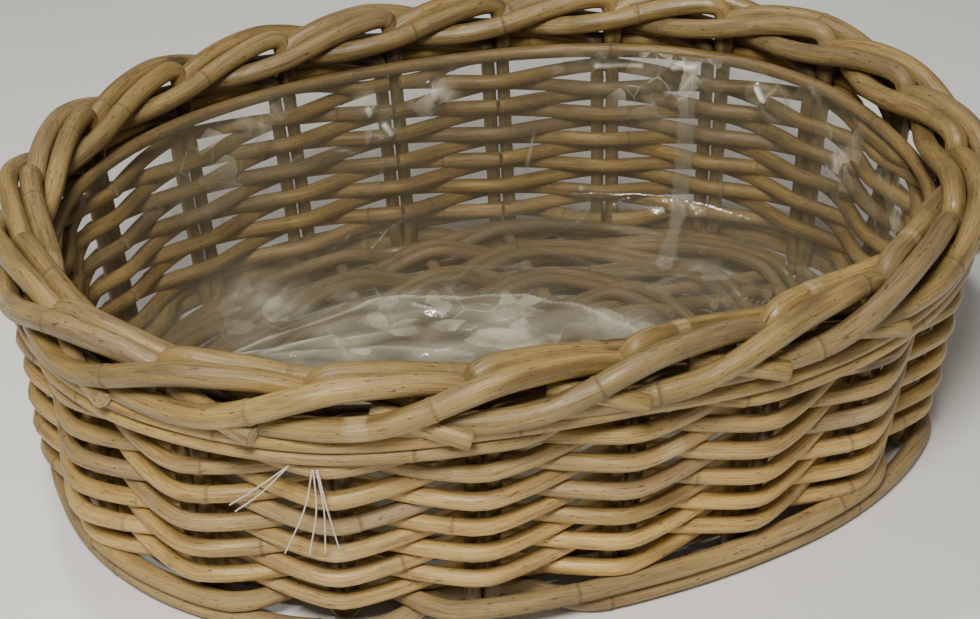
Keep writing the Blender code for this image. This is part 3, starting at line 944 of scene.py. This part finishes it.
# Crumpled places of the wall: stake place, height, how far each reaches, and how strongly.
WALL_CRUMPLES = (
    (3.10, 0.118, 0.020, 1.0), (2.62, 0.117, 0.022, 1.0), (2.12, 0.119, 0.026, 1.0),
    (1.35, 0.114, 0.026, 1.0), (0.40, 0.100, 0.022, 0.8), (4.65, 0.109, 0.012, 1.0),
    (5.14, 0.092, 0.012, 1.0), (5.30, 0.106, 0.008, 1.0), (6.60, 0.110, 0.026, 0.6),
    (7.40, 0.090, 0.022, 0.5), (19.45, 0.098, 0.024, 0.7), (13.5, 0.110, 0.030, 0.6),
    (17.0, 0.100, 0.030, 0.6), (10.2, 0.100, 0.026, 0.6), (9.8, 0.070, 0.026, 1.0),
    (10.7, 0.062, 0.026, 1.0),
)
# Crumpled places of the bottom: x, y, reach, strength.
CRUMPLE_LEVEL = 0.028
BOTTOM_CRUMPLES = ((0.020, 0.030, 0.050, 0.5), (0.130, 0.040, 0.035, 0.6), (-0.100, -0.030, 0.045, 0.4))
CRUMPLES = [(wall_point(at, -LINER_INSET, up), *rest) for at, up, *rest in WALL_CRUMPLES]
CRUMPLES += [(Vector((x, y, CRUMPLE_LEVEL)), *rest) for x, y, *rest in BOTTOM_CRUMPLES]

FILM_VEIL = (0.135, 0.115, 0.078)
FILM_MILK = (0.36, 0.34, 0.275)
FILM_CREASE_WHITE_AND_GLINT = (0.90, 0.88, 0.82)
FILM_PAINTED_GLINT = (0.80, 0.76, 0.64)
FILM_HAIRLINE_WHITE_AND_GLINT = (0.90, 0.88, 0.80)
FILM_MOST_COVER = 0.94


def film_finish():
    """Clear film: grey haze, creases white partly by painted glint, a sharp gloss, painted facet glints."""
    finish = Finish("clear_film")
    haze, crease, seam, milk = finish.channels("film_look")
    crushed = finish.node("Attribute", attribute_name="film_crush").outputs["Fac"]
    cloud = finish.spots(24, 4, 0.6)
    streak = finish.spots(60, 3, 0.6, (1, 1, 0.35))
    wrinkle = finish.spots(170, 3, 0.6)
    facet = finish.cells(80)["Color"]
    shades = finish.node("SeparateColor", {0: facet}).outputs
    # A painted glint: some facets of the crumples get a pale colour and more cover, whatever the light.
    painted_glint = finish.times(finish.ramp(shades[0], 0.70, 0.78), crushed)
    painted_glint = finish.times(painted_glint, finish.ramp(cloud, 0.40, 0.55))
    edge = finish.cells(46, "DISTANCE_TO_EDGE")["Distance"]
    # Pale hairlines on the crumples' cell edges: partly crease whitening, partly a painted glint.
    hair = finish.sum("SUBTRACT", 1, finish.ramp(edge, 0.008, 0.030))
    hair = finish.times(hair, finish.ramp(cloud, 0.50, 0.62))
    hair = finish.times(hair, finish.times(crushed, 0.5))

    # Each facet of a crumple leans its own way.
    lean = finish.vectors("SUBTRACT", facet, (0.5, 0.5, 0.5))
    lean = finish.vectors("SCALE", lean, Scale=finish.times(crushed, 0.9))
    upright = finish.node("NewGeometry").outputs["Normal"]
    faceted = finish.vectors("NORMALIZE", finish.vectors("ADD", upright, lean))
    relief = finish.bump(wrinkle, 0.0005, 0.35, faceted)
    finish.shade("Normal", finish.bump(streak, 0.002, 0.35, relief))
    finish.shade("Roughness", finish.sum("MULTIPLY_ADD", cloud, 0.16, 0.05))
    finish.shade("Specular IOR Level", 0.9)

    veil = finish.mix(milk, FILM_VEIL, FILM_MILK)
    # Creases whiten the film, partly of their own and partly as a painted glint.
    colour = finish.mix(finish.ramp(crease, 0.15, 0.8), veil, FILM_CREASE_WHITE_AND_GLINT)
    colour = finish.mix(painted_glint, colour, FILM_PAINTED_GLINT)
    finish.shade("Base Color", finish.mix(hair, colour, FILM_HAIRLINE_WHITE_AND_GLINT))
    clouds = (finish.ramp(cloud, 0.42, 0.72), 0.12)
    streaks = (finish.ramp(streak, 0.52, 0.70), 0.07)
    cover = finish.add(haze, (clouds, streaks, (crease, 0.70), (seam, 0.20), (painted_glint, 0.42), (hair, 0.60)))
    finish.shade("Alpha", finish.sum("MINIMUM", cover, FILM_MOST_COVER))
    return finish.material


# Zigzag folds of the loose film and of its crumples: half a fold's width and its height.
LOOSE_FOLDS = ((0.064, 0.0014), (0.047, 0.0011), (0.034, 0.0009), (0.025, 0.0007))
CRUSH_FOLDS = ((0.0170, 0.0020), (0.0125, 0.0015), (0.0100, 0.0012), (0.0070, 0.0008))
FOLD_WAYS = [Vector(draws.normal(0, 1, 3)).normalized() for way in range(8)]
CREASE_WIDTH = 0.0017
SHARP_FOLD_HEIGHT = 0.0016
# The folds of the bottom fan out from a point near its left end, and start from below its level.
FAN_MIDDLE = Vector((-0.150, 0.045, 0.0))
FAN_FOLDS = 5.5
FAN_HEIGHT = 0.0018
FAN_SINK = 0.0012
# The milky part of the bottom: the slanting line that it lies in front of, and the right and the
# left end, each as x and over how far it fades.
MILKY_LINE = 0.076
MILKY_SLOPE = 0.5
MILKY_FADE = 0.03
MILKY_RIGHT = (0.118, 0.03)
MILKY_LEFT = (-0.150, 0.04)


def zigzag(turn):
    """Straight up and down between 0 and 1, once for each whole turn."""
    return abs(2 * (turn - math.floor(turn + 0.5)))


def folded(place, folds, ways):
    """The height of several sets of straight folds, and how near the nearest crease is, 1 on it."""
    height = 0
    crease = 0
    for (width, rise), way in zip(folds, ways):
        swing = zigzag(place.dot(way) / width / 2)
        height += rise * swing
        crease = max(crease, math.exp(-(((1 - swing) * width / CREASE_WIDTH) ** 2)))
    return height, crease


def fold_distances(points, route):
    """How far each point is from a line through a route."""
    best = np.full(len(points), 1.0)
    corners = np.array([tuple(corner) for corner in route])
    for start, end in zip(corners[:-1], corners[1:]):
        way = end - start
        share = np.clip(((points - start) @ way) / (way @ way), 0, 1)
        best = np.minimum(best, np.linalg.norm(points - start - share[:, None] * way, axis=1))
    return best


def liner_place(a, b):
    """Where a point of the flat sheet lies in the basket, which way is into the basket, and the
    share of the way up the wall."""
    x = a * math.sqrt(1 - b * b / 2)
    y = b * math.sqrt(1 - a * a / 2)
    reach = min(1, math.hypot(x, y))
    stake = (math.atan2(y, x) / (2 * math.pi) % 1) * STAKES - FIRST_STAKE_SHARE
    if reach < BOTTOM_SHARE:
        share = reach / BOTTOM_SHARE
        edge = wall_point(stake, -LINER_INSET - LINER_ROUND, LINER_BOTTOM)
        lift = LINER_ROUND * clamped((share - 0.86) / 0.14) ** 2
        away = Vector((edge.x, edge.y, 0)).normalized()
        inward = Vector((0, 0, 1)) - away * 0.7 * clamped((share - 0.75) / 0.25)
        return Vector((edge.x * share, edge.y * share, LINER_BOTTOM + lift)), inward.normalized(), 0
    share = (reach - BOTTOM_SHARE) / (1 - BOTTOM_SHARE)
    height = LINER_BOTTOM + (LINER_TOP - LINER_BOTTOM) * share
    inset = LINER_INSET + LINER_LEAN * share + LINER_ROUND * clamped(1 - share / 0.16) ** 2
    spot = wall_point(stake, -inset, height)
    spot.z += LINER_ROUND * clamped(1 - share / 0.10) + 0.0035 * share * noise.noise(spot * 30)
    away = Vector((spot.x, spot.y, 0)).normalized()
    inward = Vector((0, 0, 1 / 0.7 * clamped(1 - share / 0.16))) - away
    return spot, inward.normalized(), share


def film_marks(points):
    """How crumpled and how sharply folded each point is, and whether it is on the seam."""
    crumpled = np.zeros(len(points))
    for middle, reach, strength in CRUMPLES:
        away = np.linalg.norm(points - np.array(middle), axis=1)
        crumpled = np.maximum(crumpled, hump(away, strength, 0, reach))
    ridges = np.zeros(len(points))
    for route, width, strength in FOLDS:
        ridges = np.maximum(ridges, hump(fold_distances(points, route), strength, 0, width))
    seam_route = [wall_point(stake, -LINER_INSET, height) for stake, height in SEAM_LINE]
    return crumpled, ridges, fold_distances(points, [*seam_route, SEAM_END]) < SEAM_WIDTH


def film_point(spot, inward, share, crush, ridge, seam):
    """A point's place on the folded film; its haze, crease white with painted glint, seam, milkiness, crush.
    """
    broad = noise.noise(spot * 11 + Vector((3, 7, 1)))
    patchy = noise.noise(spot * 34 + Vector((2, 5, 9)))
    loose = clamped(0.5 + 1.2 * broad)
    height, crease = folded(spot + noise.noise_vector(spot * 13) * 0.012, LOOSE_FOLDS, FOLD_WAYS[:4])
    fine, fine_crease = folded(spot + noise.noise_vector(spot * 45) * 0.004, CRUSH_FOLDS, FOLD_WAYS[4:])
    flat = spot - FAN_MIDDLE
    spread = min(1, flat.xy.length / 0.08) * clamped((flat.x + 0.01) / 0.05)
    fan = zigzag(math.atan2(flat.y, flat.x) * FAN_FOLDS + 1.5 * broad + 0.4 * patchy) * spread
    on_bottom = clamped(1 - share / 0.10)
    lift = height * (0.25 + 0.75 * loose) + fine * crush + SHARP_FOLD_HEIGHT * ridge
    lift += (FAN_HEIGHT * fan - FAN_SINK) * on_bottom

    # How white the creases and sharp folds are: partly the film's crease whitening, partly a painted glint.
    line = max(
        ridge,
        0.32 * crease * max(0.0, patchy + 0.1) * 1.6,
        0.42 * fine_crease * crush * clamped(0.6 + 2.2 * patchy),
        0.45 * math.exp(-(((1 - fan) / 0.07) ** 2)) * on_bottom * max(0.0, 0.5 + patchy),
    )
    milky = clamped((MILKY_LINE - MILKY_SLOPE * spot.x - spot.y + 0.02 * broad) / MILKY_FADE) * on_bottom
    milky *= clamped((MILKY_RIGHT[0] - spot.x) / MILKY_RIGHT[1])
    milky *= clamped((spot.x - MILKY_LEFT[0]) / MILKY_LEFT[1])
    haze = 0.30 + 0.10 * loose + 0.10 * crush + milky * (0.24 + 0.16 * fan + 0.30 * patchy)
    milk = 0.08 + 0.30 * crush + 0.5 * seam + milky * (0.42 + 0.22 * fan + 0.45 * patchy)
    crushed = crush * (1 - 0.65 * on_bottom) + 0.26 * milky
    return spot + inward * lift, (haze, line, float(seam), milk, crushed)


def film_liner():
    shape = bmesh.new()
    bmesh.ops.create_grid(shape, x_segments=290, y_segments=240, size=1)
    corners = list(shape.verts)
    placed = [liner_place(corner.co.x, corner.co.y) for corner in corners]
    marks = film_marks(np.array([tuple(spot) for spot, inward, share in placed]))
    looks = []
    for corner, place, *marked in zip(corners, placed, *marks):
        corner.co, look = film_point(*place, *marked)
        looks.append(look)
    looks = np.array(looks)
    bmesh.ops.recalc_face_normals(shape, faces=shape.faces)
    mesh = bpy.data.meshes.new("liner_film")
    shape.to_mesh(mesh)
    shape.free()
    layer = mesh.attributes.new("film_look", "FLOAT_COLOR", "POINT")
    layer.data.foreach_set("color", np.clip(looks[:, :4], 0, 1).ravel())
    layer = mesh.attributes.new("film_crush", "FLOAT", "POINT")
    layer.data.foreach_set("value", looks[:, 4].ravel())
    mesh.materials.append(film_finish())
    mesh.shade_smooth()
    piece = scene_object("liner_film", mesh)
    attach(piece, "root")
    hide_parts("film_liner")


film_liner()


# ---- The floor and the light ----
FLOOR_COLOUR = (0.86, 0.88, 0.93)
FLOOR_HALF_SIZE = 6
ROOM_COLOUR = (1, 0.96, 0.86, 1)
ROOM_STRENGTH = 0.20
# Each lamp: its place, what it points at, size, power and colour.
SOFTBOXES = {
    "key": ((-0.42, -0.80, 1.25), (0, 0, 0.08), 0.42, 22.5, (1, 0.95, 0.82)),
    "spark": ((-0.30, 0.25, 1.5), (0, 0, 0.1), 0.11, 6.5, (1, 0.95, 0.84)),
}


def floor():
    finish = Finish("pale_floor")
    darker = tuple(part * 0.97 for part in FLOOR_COLOUR)
    finish.shade("Base Color", finish.mix(finish.spots(3, 2, 0.5), FLOOR_COLOUR, darker))
    finish.shade("Roughness", 0.9)
    shape = bmesh.new()
    bmesh.ops.create_grid(shape, x_segments=1, y_segments=1, size=FLOOR_HALF_SIZE)
    mesh = bpy.data.meshes.new("floor")
    shape.to_mesh(mesh)
    shape.free()
    mesh.materials.append(finish.material)
    piece = scene_object("floor", mesh)


def softbox(name, place, target, size, power, colour):
    light = bpy.data.lights.new(name, "AREA")
    light.shape = "DISK"
    light.size = size
    light.energy = power
    light.color = colour
    holder = scene_object(name, light)
    holder.location = place
    holder.rotation_euler = (Vector(target) - Vector(place)).to_track_quat("-Z", "Y").to_euler()


floor()
world = bpy.data.worlds.new("room")
bpy.context.scene.world = world
world.use_nodes = True
world.node_tree.nodes["Background"].inputs["Color"].default_value = ROOM_COLOUR
world.node_tree.nodes["Background"].inputs["Strength"].default_value = ROOM_STRENGTH
for name, settings in SOFTBOXES.items():
    softbox(name, *settings)
